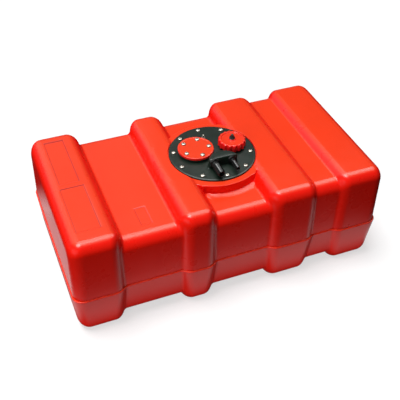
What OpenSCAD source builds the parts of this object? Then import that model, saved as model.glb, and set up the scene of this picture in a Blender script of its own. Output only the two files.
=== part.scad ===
// Inboard fuel tank: two ribbed plastic halves welded at a joint, and a round fitting plate on top
// that carries a blanked gauge opening, a vented screw cap and two hose tails.
// Millimetres, +Z up, +X along the tank. The origin is on the floor, under the middle of the tank.

/* [Tank] */
// Length of the tank over the rim of the joint
tank_l = 650; // [620:1:760]
// Width of the tank over the rim of the joint
tank_w = 358; // [330:1:420]
// Height of the tank from the feet to the top of the ribs
tank_h = 227; // [200:1:290]
// Height of the welded joint above the feet
seam_h = 94; // [75:1:115]
// Thickness of the moulded walls
wall = 5; // [3:0.5:6]
// How far the rim of the lower half stands out past the upper half
rim_step = 2; // [1:0.5:3]
// How far the upper walls lean in from the joint to the top
upper_lean = 2; // [1:0.5:4]
// How far the lower walls lean in from the joint to the feet
lower_lean = 7.5; // [4:0.5:9]
// Radius of the upright corners at the rim
corner_r = 26; // [22:1:28]

/* [Ribs] */
// Width of the rib at the left end, at the rim
rib_1_w = 107.5; // [90:0.5:120]
// Width of the first groove, at the rim
groove_1_w = 104; // [60:0.5:120]
// Width of the second rib, at the rim
rib_2_w = 80.5; // [70:0.5:100]
// Width of the groove that holds the boss, at the rim
groove_2_w = 102.5; // [80:0.5:110]
// Width of the third rib, at the rim
rib_3_w = 108.5; // [90:0.5:115]
// Width of the third groove, at the rim
groove_3_w = 39; // [30:0.5:60]
// Depth of the first two grooves below the top
groove_top = 25; // [15:0.5:30]
// Depth of the third groove below the top
groove_3_top = 12; // [8:0.5:20]
// Depth of the first two grooves in the front and rear walls
groove_side = 11; // [6:0.5:14]
// Depth of the third groove in the front and rear walls
groove_3_side = 8.5; // [5:0.5:14]
// Depth of the grooves under the tank, which leaves the ribs as feet
groove_bottom = 13; // [8:0.5:16]

/* [Boss] */
// Radius of the round boss under the plate
boss_r = 104; // [98:0.5:115]
// Radius of the rounded top edge of the boss
boss_edge_r = 4; // [2:0.5:6]
// Thickness of the boss around the opening
boss_t = 15; // [14:0.5:18]
// Radius of the opening in the boss
opening_r = 65; // [58:0.5:68]
// How far the top of the boss lies below the top of the ribs
boss_drop = 4; // [2:0.5:6]
// Radial clearance of the plate in the round seat that is sunk into the ribs beside it
seat_clearance = 1.5; // [1:0.25:3]

/* [Fitting plate] */
// Radius of the fitting plate
plate_r = 88; // [84:0.5:94]
// Thickness of the fitting plate
plate_t = 3; // [2.5:0.5:5]
// Thickness of the gasket under the plate
gasket_t = 1; // [0.5:0.25:2]
// Number of screws round the plate
plate_screw_count = 10; // [8:1:12]
// Radius of the circle of plate screws
plate_screw_circle_r = 78; // [74:0.5:80]
// Length of the plate screws under the head
plate_screw_l = 14; // [10:0.5:16]

/* [Screws] */
// Radius of the screw threads
screw_r = 2.5; // [2:0.25:3]
// Radius of the rounded edge of the screw heads
screw_edge_r = 1.7; // [1:0.1:1.9]
// Width of the cross recess in the screw heads
screw_recess_w = 1.2; // [0.8:0.1:1.5]
// Depth of the cross recess in the screw heads
screw_recess = 1.4; // [0.8:0.1:1.8]
// Radius of the screw heads
screw_head_r = 4.75; // [4:0.25:5.5]
// Height of the screw heads
screw_head_h = 2.8; // [2:0.1:3.5]
// Outer radius of the threaded inserts
insert_r = 3.6; // [3.3:0.1:4]
// Length of the threaded inserts in the boss
plate_insert_l = 11; // [8:0.5:12]
// Radial clearance of the screws in the gaskets, plate and cover
screw_clearance = 0.3; // [0.2:0.05:0.5]
// Radial clearance of the screws in the inserts, and of the inserts in the plastic
insert_clearance = 0.05; // [0.02:0.01:0.1]

/* [Gauge cover] */
// Place of the cover from the middle of the plate, to the left
cover_left = 31; // [28:0.5:34]
// Place of the cover from the middle of the plate, to the rear
cover_back = 12; // [6:0.5:16]
// Radius of the cover
cover_r = 36.5; // [34:0.5:37]
// Thickness of the cover
cover_t = 5; // [3:0.5:6]
// Radius of the rounded top edge of the cover
cover_edge_r = 1.5; // [0.5:0.25:2.5]
// Thickness of the gasket under the cover
cover_gasket_t = 1; // [0.5:0.25:2]
// Height of the riser that the cover sits on
riser_h = 5; // [4:0.5:8]
// Radius of the riser
riser_r = 34.5; // [32:0.5:36]
// Radius of the gauge opening in the riser
gauge_r = 21; // [18:0.5:22]
// Radius of the circle of cover screws
cover_screw_circle_r = 27; // [26:0.5:28]
// Length of the cover screws under the head
cover_screw_l = 12; // [10:0.5:12]
// Length of the threaded inserts in the riser
cover_insert_l = 7; // [5:0.5:7]

/* [Screw cap] */
// Place of the cap from the middle of the plate, to the right
cap_right = 46; // [44:0.5:50]
// Place of the cap from the middle of the plate, to the rear
cap_back = 7; // [6:0.5:10]
// Radius of the cap over its grips
cap_r = 29; // [28:0.5:30]
// Height of the cap
cap_h = 14; // [12:0.5:20]
// Height of the lower edge of the cap above the plate
cap_gap = 4; // [3.5:0.5:6]
// Thickness of the cap's top at its rim
cap_top_t = 3.5; // [3:0.5:5]
// Number of grip flutes round the cap
cap_flutes = 16; // [12:1:20]
// Radius of the grip flutes
flute_r = 3; // [2:0.25:3.5]
// How deep the grip flutes cut into the cap
flute_depth = 2; // [1:0.25:2.5]
// Radius of the rounded top edge of the cap
cap_edge_r = 1.5; // [0.5:0.25:1.5]
// Depth of the round recess in the cap's top
cap_recess = 1.5; // [0.5:0.25:1.5]
// Radius of the round recess in the cap's top
cap_recess_r = 21.5; // [16:0.5:23]
// Radius of the neck over its thread
neck_r = 22; // [20:0.5:23]
// Radius of the filling bore in the neck
neck_bore_r = 18; // [14:0.5:18.5]
// Height of the thread ridges on the neck
thread_h = 1; // [0.5:0.1:1.2]
// Rise of the cap in one turn
thread_pitch = 4; // [3:0.5:5]
// Radial clearance of the cap on the thread of the neck
cap_clearance = 0.3; // [0.2:0.05:0.5]
// Thickness of the gasket in the cap
cap_gasket_t = 2; // [1:0.25:2.5]

/* [Vent screw] */
// Radius of the vent screw's thread
vent_screw_r = 3; // [2:0.25:3.5]
// Radius of the vent screw's knob at its base
knob_r = 6; // [5:0.25:7]
// Radius of the vent screw's knob at its tip
knob_tip_r = 2; // [1:0.25:3]
// Height of the vent screw's knob
knob_h = 9; // [6:0.5:12]
// Radius of the raised pad that the vent screw seals on
vent_pad_r = 7.5; // [7:0.25:9]
// Thickness of the vent seal
vent_seal_t = 1; // [0.5:0.25:1.5]
// Length of the vent screw below the seal
vent_screw_l = 5.5; // [5:0.5:6]
// Radial clearance of the vent screw in the cap
vent_clearance = 0.3; // [0.2:0.05:0.5]

/* [Hose tails] */
// Radius of the round housing that the hose tails screw into
housing_r = 32; // [31:0.5:34]
// Place of the housing's centre from the middle of the plate, to the right
housing_right = 5; // [4:0.5:7]
// Place of the housing's centre from the middle of the plate, to the front
housing_front = 53; // [52:0.5:55]
// Place of the housing's flat face from the middle of the plate, to the front
housing_face = 46; // [44:0.5:48]
// Height of the housing above the plate
housing_h = 19.5; // [19.5:0.5:22]
// Radius of the rounded top edge of the housing
housing_edge_r = 5; // [2:0.5:6]
// Distance from the housing's face back to the upright passages
passage_back = 9; // [8.5:0.5:11]
// Place of the vent tail from the middle of the plate, to the left
vent_left = 15; // [14:0.5:17]
// Radius of the hose that fits the vent tail
vent_hose_r = 8; // [7:0.5:8]
// Radius of the vent tail's bore
vent_bore_r = 5; // [4:0.25:5.25]
// Length of the vent tail in front of its nut
vent_tail_l = 34; // [30:0.5:36]
// Width across the flats of the vent tail's nut
vent_nut_w = 19; // [18:0.5:20]
// Place of the feed tail from the middle of the plate, to the right
feed_right = 22; // [20:0.5:26]
// Radius of the hose that fits the feed tail
feed_hose_r = 5; // [4.5:0.5:6]
// Radius of the feed tail's bore
feed_bore_r = 3; // [2.5:0.25:3.25]
// Length of the feed tail in front of its nut
feed_tail_l = 29; // [24:0.5:32]
// Width across the flats of the feed tail's nut
feed_nut_w = 14; // [13:0.5:16]
// Height of the hose tails' centre lines above the plate
tail_h = 12; // [11.5:0.25:12]
// Thickness of the hose tails' nuts
nut_t = 4; // [3:0.5:6]
// Thickness of the seals behind the nuts
tail_seal_t = 1; // [0.5:0.25:2]
// Depth of the threaded shanks in the housing
shank_l = 7; // [5:0.5:8]
// How far the shank of a hose tail stands out past its bore
shank_wall = 1.25; // [1:0.25:1.5]
// Depth of the barbs, which stand out as far as the hose size
barb_h = 1.2; // [0.5:0.1:1.5]
// Number of barbs on a hose tail
barb_count = 4; // [2:1:5]
// Length of a hose tail that is left plain beside its nut
plain_l = 8; // [6:0.5:10]
// Radial clearance of the shanks in the housing
shank_clearance = 0.05; // [0.02:0.01:0.1]

/* [Pick-up] */
// Outer radius of the pick-up tube
dip_r = 5; // [4:0.25:6]
// Radius of the pick-up tube's bore
dip_bore_r = 3.5; // [2.5:0.25:4]
// Depth of the socket under the plate that holds the pick-up tube
socket_l = 9; // [6:0.5:14]
// Wall of that socket
socket_wall = 2.5; // [2:0.25:4]
// Radial clearance of the pick-up tube in its socket and strainer
dip_clearance = 0.05; // [0.02:0.01:0.1]
// Gap between the strainer and the tank's floor
strainer_gap = 6; // [3:0.5:12]
// Radius of the strainer
strainer_r = 10; // [8:0.5:14]
// Height of the strainer
strainer_h = 18; // [16:0.5:30]
// Wall of the strainer
strainer_wall = 1.5; // [1:0.25:2]
// Depth of the pick-up tube in the strainer
strainer_grip = 6; // [4:0.5:8]
// Number of slots round the strainer
strainer_slots = 8; // [6:1:12]
// Width of the strainer's slots
strainer_slot_w = 2.5; // [1.5:0.25:3]
// Rim left above and below the strainer's slots
strainer_slot_end = 1; // [0.5:0.25:2]

/* [Earth stud] */
// Place of the earth stud from the middle of the plate, to the rear
stud_back = 48; // [47:0.5:54]
// Radius of the earth stud
stud_r = 2; // [1.5:0.25:2.5]
// Height of the earth stud above the plate
stud_h = 10; // [8:0.5:14]
// Radius of the earth stud's head under the plate
stud_head_r = 4; // [3.5:0.25:5]
// Height of the earth stud's head
stud_head_h = 2.5; // [2:0.25:3.5]
// Width across the flats of the earth nut
stud_nut_w = 7; // [6:0.5:8]
// Height of the earth nut
stud_nut_h = 3.2; // [2.5:0.1:4]
// Radius of the washer under the earth nut
washer_r = 4.5; // [4:0.25:5]
// Thickness of the washer under the earth nut
washer_t = 0.8; // [0.5:0.1:1.2]
// Radial clearance of the earth stud in the plate, washer and nut
stud_clearance = 0.1; // [0.05:0.05:0.2]

/* [Hidden] */
$fn = 64;
// Overlap of cutting shapes past the face that they cut
past = 1;

half_w = tank_w / 2;
rib_4_w = tank_l - rib_1_w - groove_1_w - rib_2_w - groove_2_w - rib_3_w - groove_3_w;
rib_1_x = -tank_l / 2;
rib_2_x = rib_1_x + rib_1_w + groove_1_w;
rib_3_x = rib_2_x + rib_2_w + groove_2_w;
rib_4_x = rib_3_x + rib_3_w + groove_3_w;
// Left edge and width of each rib
ribs = [
    [rib_1_x, rib_1_w],
    [rib_2_x, rib_2_w],
    [rib_3_x, rib_3_w],
    [rib_4_x, rib_4_w]
];
rib_1_mid = rib_1_x + rib_1_w / 2;
rib_3_mid = rib_3_x + rib_3_w / 2;
rib_4_mid = rib_4_x + rib_4_w / 2;
// Radius that is left of the upright corners at the top and at the feet, used for those edges too
top_edge_r = corner_r - rim_step - upper_lean;
foot_edge_r = corner_r - lower_lean;

plate_x = rib_2_x + rib_2_w + groove_2_w / 2;
plate_y = 0;
boss_top = tank_h - boss_drop;
seat_r = plate_r + seat_clearance;
plate_bottom = boss_top + gasket_t;
plate_top = plate_bottom + plate_t;
screw_hole_r = screw_r + screw_clearance;
insert_bore_r = screw_r + insert_clearance;
insert_hole_r = insert_r + insert_clearance;

riser_top = plate_top + riser_h;
cover_bottom = riser_top + cover_gasket_t;
cover_top = cover_bottom + cover_t;
cover_x = plate_x - cover_left;
cover_y = plate_y + cover_back;
cover_screw_count = 5;
cover_screw_turn = 63;

cap_x = plate_x + cap_right;
cap_y = plate_y + cap_back;
cap_bottom = plate_top + cap_gap;
cap_top = cap_bottom + cap_h;
cap_ceiling = cap_top - cap_top_t;
cap_bore_r = neck_r + cap_clearance;
neck_top = cap_ceiling - cap_gasket_t;
neck_core_r = neck_r - thread_h;
thread_rings = 2;
vent_hole_r = vent_screw_r + vent_clearance;

housing_x = plate_x + housing_right;
housing_y = plate_y - housing_front;
face_y = plate_y - housing_face;
passage_y = face_y + passage_back;
tail_z = plate_top + tail_h;
vent_x = plate_x - vent_left;
feed_x = plate_x + feed_right;
nut_back_y = face_y - tail_seal_t;
nut_front_y = nut_back_y - nut_t;

socket_bottom = plate_bottom - socket_l;
tank_floor = groove_bottom + wall;
strainer_bottom = tank_floor + strainer_gap;
strainer_top = strainer_bottom + strainer_h;
dip_bottom = strainer_top - strainer_grip;
strainer_grip_r = dip_r + dip_clearance;

stud_x = plate_x;
stud_y = plate_y + stud_back;

// Outline of a wall from the axis of an upright corner outwards: a leaning line and a round edge.
// The rim is at rim_z and the round edge ends at end_z, which may lie above or below the rim.
module wall_outline(rim_z, rim_in, end_z, edge_r) {
    up = sign(end_z - rim_z);
    edge_z = end_z - up * edge_r;
    polygon([[0, rim_z], [corner_r - rim_in, rim_z], [edge_r, edge_z], [0, edge_z]]);
    intersection() {
        translate([0, edge_z]) circle(edge_r);
        translate([0, min(edge_z, end_z)]) square(edge_r);
    }
}

// Full outline across a block whose corner axes lie at plus and minus span
module block_outline(span, rim_z, rim_in, end_z, edge_r) {
    translate([-span, min(rim_z, end_z)]) square([2 * span, abs(end_z - rim_z)]);
    translate([span, 0]) wall_outline(rim_z, rim_in, end_z, edge_r);
    mirror([1, 0]) translate([span, 0]) wall_outline(rim_z, rim_in, end_z, edge_r);
}

// A rib: a block with leaning walls, round upright corners and a round edge all round its end
module rib_block(x, w, rim_z, rim_in, end_z, edge_r) {
    span_x = w / 2 - corner_r;
    span_y = half_w - corner_r;
    translate([x + w / 2, 0, 0]) {
        rotate([90, 0, 90]) linear_extrude(2 * span_x, center = true)
            block_outline(span_y, rim_z, rim_in, end_z, edge_r);
        rotate([90, 0, 0]) linear_extrude(2 * span_y, center = true)
            block_outline(span_x, rim_z, rim_in, end_z, edge_r);
        for (sx = [-1, 1])
            for (sy = [-1, 1])
                translate([sx * span_x, sy * span_y, 0])
                    rotate_extrude() wall_outline(rim_z, rim_in, end_z, edge_r);
    }
}

// The floor of the grooves: one outline run along the tank from the middle of one rib to another
module groove_block(x_from, x_to, side, rim_z, rim_in, end_z, edge_r) {
    translate([x_from, 0, 0]) rotate([90, 0, 90]) linear_extrude(x_to - x_from)
        block_outline(half_w - side - corner_r, rim_z, rim_in, end_z, edge_r);
}

// Outside of the upper half, or its inside when inset by the wall
module upper_form(inset) {
    rim_in = rim_step + inset;
    edge_r = top_edge_r - inset;
    for (rib = ribs)
        rib_block(rib[0], rib[1], seam_h, rim_in, tank_h - inset, edge_r);
    groove_z = tank_h - groove_top - inset;
    groove_3_z = tank_h - groove_3_top - inset;
    groove_block(rib_1_mid, rib_3_mid, groove_side, seam_h, rim_in, groove_z, edge_r);
    groove_block(rib_3_mid, rib_4_mid, groove_3_side, seam_h, rim_in, groove_3_z, edge_r);
}

// Outside of the lower half, or its inside when inset by the wall and the rim
module lower_form(rim_in, inset) {
    edge_r = foot_edge_r - inset;
    for (rib = ribs)
        rib_block(rib[0], rib[1], seam_h, rim_in, inset, edge_r);
    groove_block(rib_1_mid, rib_3_mid, groove_side, seam_h, rim_in, groove_bottom + inset, edge_r);
    groove_block(rib_3_mid, rib_4_mid, groove_3_side, seam_h, rim_in, groove_bottom + inset, edge_r);
}

// A disc with a rounded upper edge, standing on z = 0
module round_edged_disc(r, h, edge_r) {
    rotate_extrude() {
        square([r, h - edge_r]);
        square([r - edge_r, h]);
        translate([r - edge_r, h - edge_r]) intersection() {
            circle(edge_r);
            square(edge_r);
        }
    }
}

// Copies of the children round an upright axis at the given radius
module ring_of(count, circle_r, turn) {
    for (i = [0 : count - 1])
        rotate(turn + i * 360 / count) translate([circle_r, 0, 0]) children();
}

module at_plate_screws() {
    translate([plate_x, plate_y, 0]) ring_of(plate_screw_count, plate_screw_circle_r, 90) children();
}

module at_cover_screws() {
    translate([cover_x, cover_y, 0])
        ring_of(cover_screw_count, cover_screw_circle_r, cover_screw_turn) children();
}

// A pan-head screw with its head seated on z = 0 and a cross recess
module pan_screw(l) {
    difference() {
        union() {
            translate([0, 0, -l]) cylinder(h = l, r = screw_r);
            round_edged_disc(screw_head_r, screw_head_h, screw_edge_r);
        }
        for (turn = [0, 90])
            rotate(turn) translate([0, 0, screw_head_h])
                cube([screw_head_r, screw_recess_w, 2 * screw_recess], center = true);
    }
}

// A threaded insert whose mouth is flush with z = 0
module insert(l) {
    translate([0, 0, -l]) difference() {
        cylinder(h = l, r = insert_r);
        translate([0, 0, -past]) cylinder(h = l + 2 * past, r = insert_bore_r);
    }
}

// Upper half of the tank, with the boss that carries the fitting plate and the seat for it in the ribs
module upper_shell() {
    groove_floor = tank_h - groove_top - wall;
    color([0.86, 0.11, 0.05]) difference() {
        union() {
            difference() {
                union() {
                    upper_form(0);
                    translate([plate_x, plate_y, groove_floor])
                        round_edged_disc(boss_r, boss_top - groove_floor, boss_edge_r);
                }
                upper_form(wall);
                translate([plate_x, plate_y, groove_floor - past])
                    cylinder(h = boss_top - boss_t - groove_floor + past, r = boss_r - wall);
            }
            translate([plate_x, plate_y, boss_top - boss_t])
                round_edged_disc(boss_r, boss_t, boss_edge_r);
        }
        translate([plate_x, plate_y, groove_floor - past])
            cylinder(h = boss_top - groove_floor + 2 * past, r = opening_r);
        translate([plate_x, plate_y, boss_top]) cylinder(h = boss_drop + past, r = seat_r);
        at_plate_screws() translate([0, 0, boss_top - plate_insert_l])
            cylinder(h = plate_insert_l + past, r = insert_hole_r);
    }
}

// Lower half of the tank, with its proud rim and the ribs as feet
module lower_shell() {
    color([0.84, 0.12, 0.08]) difference() {
        lower_form(0, 0);
        lower_form(rim_step + wall, wall);
    }
}

// Threaded inserts moulded into the boss
module plate_inserts() {
    color([0.78, 0.6, 0.26]) at_plate_screws() translate([0, 0, boss_top]) insert(plate_insert_l);
}

// Flat gasket between the boss and the plate
module plate_gasket() {
    color([0.06, 0.06, 0.06]) difference() {
        translate([plate_x, plate_y, boss_top]) difference() {
            cylinder(h = gasket_t, r = plate_r);
            translate([0, 0, -past]) cylinder(h = gasket_t + 2 * past, r = opening_r);
        }
        at_plate_screws() translate([0, 0, boss_top - past])
            cylinder(h = gasket_t + 2 * past, r = screw_hole_r);
    }
}

// Bore of a hose tail through the housing, turned down through the plate
module tail_passage(x, bore_r, shank_r) {
    translate([x, face_y + shank_l, tail_z]) rotate([90, 0, 0]) cylinder(h = shank_l + past, r = shank_r);
    translate([x, passage_y, tail_z]) rotate([90, 0, 0]) cylinder(h = passage_back, r = bore_r);
    translate([x, passage_y, plate_bottom - past]) cylinder(h = tail_z - plate_bottom + past, r = bore_r);
    translate([x, passage_y, tail_z]) sphere(bore_r);
}

// Fitting plate, moulded with the riser, the neck and the housing of the hose tails
module fitting_plate() {
    color([0.05, 0.055, 0.055]) difference() {
        union() {
            translate([plate_x, plate_y, plate_bottom]) cylinder(h = plate_t, r = plate_r);
            translate([cover_x, cover_y, plate_bottom]) cylinder(h = plate_t + riser_h, r = riser_r);
            translate([cap_x, cap_y, plate_bottom]) cylinder(h = neck_top - plate_bottom, r = neck_core_r);
            for (i = [1 : thread_rings])
                translate([cap_x, cap_y, neck_top - i * thread_pitch])
                    cylinder(h = thread_pitch / 2, r = neck_r);
            intersection() {
                translate([housing_x, housing_y, plate_bottom])
                    round_edged_disc(housing_r, plate_t + housing_h, housing_edge_r);
                translate([housing_x - housing_r, face_y, plate_bottom])
                    cube([2 * housing_r, 2 * housing_r, plate_t + housing_h]);
            }
            translate([feed_x, passage_y, socket_bottom])
                cylinder(h = socket_l + plate_t, r = dip_r + dip_clearance + socket_wall);
        }
        translate([cover_x, cover_y, plate_bottom - past])
            cylinder(h = riser_top - plate_bottom + 2 * past, r = gauge_r);
        translate([cap_x, cap_y, plate_bottom - past])
            cylinder(h = neck_top - plate_bottom + 2 * past, r = neck_bore_r);
        tail_passage(vent_x, vent_bore_r, vent_bore_r + shank_wall + shank_clearance);
        tail_passage(feed_x, feed_bore_r, feed_bore_r + shank_wall + shank_clearance);
        translate([feed_x, passage_y, socket_bottom - past])
            cylinder(h = socket_l + past, r = dip_r + dip_clearance);
        at_plate_screws() translate([0, 0, plate_bottom - past])
            cylinder(h = plate_t + 2 * past, r = screw_hole_r);
        at_cover_screws() translate([0, 0, riser_top - cover_insert_l])
            cylinder(h = cover_insert_l + past, r = insert_hole_r);
        translate([stud_x, stud_y, plate_bottom - past])
            cylinder(h = plate_t + 2 * past, r = stud_r + stud_clearance);
    }
}

// Screws that hold the plate down on the boss
module plate_screws() {
    color([0.78, 0.78, 0.76]) at_plate_screws() translate([0, 0, plate_top]) pan_screw(plate_screw_l);
}

// Threaded inserts in the riser
module cover_inserts() {
    color([0.78, 0.6, 0.26]) at_cover_screws() translate([0, 0, riser_top]) insert(cover_insert_l);
}

// Flat gasket between the riser and the cover
module cover_gasket() {
    color([0.06, 0.06, 0.06]) difference() {
        translate([cover_x, cover_y, riser_top]) difference() {
            cylinder(h = cover_gasket_t, r = riser_r);
            translate([0, 0, -past]) cylinder(h = cover_gasket_t + 2 * past, r = gauge_r);
        }
        at_cover_screws() translate([0, 0, riser_top - past])
            cylinder(h = cover_gasket_t + 2 * past, r = screw_hole_r);
    }
}

// Blanking cover over the gauge opening
module gauge_cover() {
    color([0.86, 0.1, 0.05]) difference() {
        translate([cover_x, cover_y, cover_bottom]) round_edged_disc(cover_r, cover_t, cover_edge_r);
        at_cover_screws() translate([0, 0, cover_bottom - past])
            cylinder(h = cover_t + 2 * past, r = screw_hole_r);
    }
}

// Screws that hold the cover on the riser
module cover_screws() {
    color([0.78, 0.78, 0.76]) at_cover_screws() translate([0, 0, cover_top]) pan_screw(cover_screw_l);
}

// Flat sealing ring between the neck and the cap
module cap_gasket() {
    color([0.08, 0.08, 0.08]) translate([cap_x, cap_y, neck_top]) difference() {
        cylinder(h = cap_gasket_t, r = neck_r);
        translate([0, 0, -past]) cylinder(h = cap_gasket_t + 2 * past, r = neck_bore_r);
    }
}

// Fluted screw cap, recessed on top round the pad of the vent screw
module screw_cap() {
    color([0.84, 0.08, 0.05]) translate([cap_x, cap_y, cap_bottom]) difference() {
        round_edged_disc(cap_r, cap_h, cap_edge_r);
        translate([0, 0, -past]) cylinder(h = cap_ceiling - cap_bottom + past, r = cap_bore_r);
        translate([0, 0, cap_h - cap_recess]) difference() {
            cylinder(h = cap_recess + past, r = cap_recess_r);
            translate([0, 0, -past]) cylinder(h = cap_recess + 3 * past, r = vent_pad_r);
        }
        ring_of(cap_flutes, cap_r + flute_r - flute_depth, 0)
            translate([0, 0, -past]) cylinder(h = cap_h + 2 * past, r = flute_r);
        translate([0, 0, -past]) cylinder(h = cap_h + 2 * past, r = vent_hole_r);
    }
}

// Sealing ring under the knob of the vent screw
module vent_seal() {
    color([0.08, 0.08, 0.08]) translate([cap_x, cap_y, cap_top]) difference() {
        cylinder(h = vent_seal_t, r = knob_r);
        translate([0, 0, -past]) cylinder(h = vent_seal_t + 2 * past, r = vent_hole_r);
    }
}

// Vent screw: a tapered knob on a threaded stem through the cap
module vent_screw() {
    color([0.04, 0.04, 0.04]) translate([cap_x, cap_y, cap_top + vent_seal_t]) {
        translate([0, 0, -vent_screw_l]) cylinder(h = vent_screw_l + past, r = vent_screw_r);
        cylinder(h = knob_h, r1 = knob_r, r2 = knob_tip_r);
    }
}

// A barbed hose tail along -Y with its nut on y = 0 and a threaded shank behind it
module hose_tail(hose_r, bore_r, l, nut_w) {
    barb_l = (l - plain_l) / barb_count;
    behind = tail_seal_t + shank_l;
    rotate([90, 0, 0]) difference() {
        union() {
            translate([0, 0, -behind]) cylinder(h = behind + past, r = bore_r + shank_wall);
            cylinder(h = nut_t, d = nut_w / cos(30), $fn = 6);
            cylinder(h = nut_t + plain_l, r = hose_r);
            for (i = [0 : barb_count - 1])
                translate([0, 0, nut_t + plain_l + i * barb_l])
                    cylinder(h = barb_l, r1 = hose_r, r2 = hose_r - barb_h);
        }
        translate([0, 0, -behind - past]) cylinder(h = behind + nut_t + l + 2 * past, r = bore_r);
    }
}

// A sealing ring behind the nut of a hose tail
module tail_seal(shank_r, nut_w) {
    rotate([90, 0, 0]) difference() {
        cylinder(h = tail_seal_t, d = nut_w);
        translate([0, 0, -past]) cylinder(h = tail_seal_t + 2 * past, r = shank_r);
    }
}

// Hose tail of the breather
module vent_tail() {
    color([0.03, 0.03, 0.03]) translate([vent_x, nut_back_y, tail_z])
        hose_tail(vent_hose_r, vent_bore_r, vent_tail_l, vent_nut_w);
}

// Seal behind the nut of the vent tail
module vent_tail_seal() {
    color([0.08, 0.08, 0.08]) translate([vent_x, face_y, tail_z])
        tail_seal(vent_bore_r + shank_wall + shank_clearance, vent_nut_w);
}

// Hose tail of the fuel feed
module feed_tail() {
    color([0.03, 0.03, 0.03]) translate([feed_x, nut_back_y, tail_z])
        hose_tail(feed_hose_r, feed_bore_r, feed_tail_l, feed_nut_w);
}

// Seal behind the nut of the feed tail
module feed_tail_seal() {
    color([0.08, 0.08, 0.08]) translate([feed_x, face_y, tail_z])
        tail_seal(feed_bore_r + shank_wall + shank_clearance, feed_nut_w);
}

// Pick-up tube from the feed passage down to the strainer
module pickup_tube() {
    color([0.75, 0.76, 0.78]) translate([feed_x, passage_y, dip_bottom]) difference() {
        cylinder(h = plate_bottom - dip_bottom, r = dip_r);
        translate([0, 0, -past]) cylinder(h = plate_bottom - dip_bottom + 2 * past, r = dip_bore_r);
    }
}

// Slotted strainer on the foot of the pick-up tube
module strainer() {
    inside_h = strainer_h - strainer_grip - strainer_wall;
    slot_h = inside_h - 2 * strainer_slot_end;
    slot_z = strainer_wall + strainer_slot_end;
    color([0.78, 0.6, 0.26]) translate([feed_x, passage_y, strainer_bottom]) difference() {
        cylinder(h = strainer_h, r = strainer_r);
        translate([0, 0, strainer_wall]) cylinder(h = inside_h, r = strainer_r - strainer_wall);
        translate([0, 0, strainer_wall]) cylinder(h = strainer_h, r = strainer_grip_r);
        for (i = [0 : strainer_slots - 1])
            rotate(i * 360 / strainer_slots)
                translate([strainer_r - 2 * strainer_wall, -strainer_slot_w / 2, slot_z])
                    cube([3 * strainer_wall, strainer_slot_w, slot_h]);
    }
}

// Earth stud through the plate, with its head inside the tank
module earth_stud() {
    color([0.8, 0.8, 0.78]) translate([stud_x, stud_y, plate_bottom]) {
        translate([0, 0, -stud_head_h]) cylinder(h = stud_head_h, r = stud_head_r);
        translate([0, 0, -past]) cylinder(h = past + plate_t + stud_h, r = stud_r);
    }
}

// Washer under the earth nut
module earth_washer() {
    color([0.75, 0.75, 0.74]) translate([stud_x, stud_y, plate_top]) difference() {
        cylinder(h = washer_t, r = washer_r);
        translate([0, 0, -past]) cylinder(h = washer_t + 2 * past, r = stud_r + stud_clearance);
    }
}

// Nut on the earth stud
module earth_nut() {
    color([0.8, 0.8, 0.78]) translate([stud_x, stud_y, plate_top + washer_t]) difference() {
        cylinder(h = stud_nut_h, d = stud_nut_w / cos(30), $fn = 6);
        translate([0, 0, -past]) cylinder(h = stud_nut_h + 2 * past, r = stud_r + stud_clearance);
    }
}

upper_shell();
lower_shell();
plate_inserts();
plate_gasket();
fitting_plate();
plate_screws();
cover_inserts();
cover_gasket();
gauge_cover();
cover_screws();
cap_gasket();
screw_cap();
vent_seal();
vent_screw();
vent_tail();
vent_tail_seal();
feed_tail();
feed_tail_seal();
pickup_tube();
strainer();
earth_stud();
earth_washer();
earth_nut();
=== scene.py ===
"""Looks of an inboard fuel tank: two ribbed red halves, and a black plate of fittings on top."""

import math

import bmesh
import bpy
import numpy as np
from mathutils import Matrix, Vector


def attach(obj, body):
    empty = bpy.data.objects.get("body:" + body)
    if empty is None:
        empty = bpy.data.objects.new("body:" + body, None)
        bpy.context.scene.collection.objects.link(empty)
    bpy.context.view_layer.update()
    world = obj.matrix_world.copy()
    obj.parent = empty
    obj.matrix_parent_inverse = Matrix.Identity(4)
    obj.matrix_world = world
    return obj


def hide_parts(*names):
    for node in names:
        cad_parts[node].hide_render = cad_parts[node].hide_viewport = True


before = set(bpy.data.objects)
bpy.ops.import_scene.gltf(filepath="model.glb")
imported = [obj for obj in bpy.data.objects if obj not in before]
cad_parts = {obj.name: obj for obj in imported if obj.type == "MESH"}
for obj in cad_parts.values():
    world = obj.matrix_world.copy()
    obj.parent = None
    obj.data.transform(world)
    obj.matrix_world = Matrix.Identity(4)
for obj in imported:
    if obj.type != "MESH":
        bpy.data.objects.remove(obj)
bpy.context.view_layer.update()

# Lower half of the tank. It is moulded in red polyethylene with four ribs that end as feet,
# and its rim stands a little proud of the upper half, to which it is welded.
MM = 0.001
HALF_WIDTH = 179.0
SEAM_Z = 94.0
RIB_EDGES = ((-325.0, -217.5), (-113.5, -33.0), (69.5, 178.0), (217.0, 325.0))
WALL = 5.0
LOWER = dict(
    height=94.0, lean=7.5, rim_in=0.0, end_r=22.0, corner_r=20.0, groove_r=20.0,
    top_drop=(13.0, 13.0, 13.0), side_drop=(11.0, 11.0, 8.5),
    top_crest=17.0, top_foot=9.0, side_crest=26.0, side_foot=10.0,
)
# Height above the joint and inset of each line of the rim's edge
LOWER_RIM = ((0.0, 5.0), (0.0, 1.6), (0.25, 0.6), (0.8, 0.1), (1.6, 0.0), (3.0, 0.0))
# Share of the top edge's radius that an end takes off, and of the flat top that lines take up
END_LOSS, TOP_REACH = 0.45, 0.995
# How far plain lines keep from the edges of a rib, on the rib and in the groove
RIB_CLEAR, GROOVE_CLEAR = 24.0, 12.0


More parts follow.
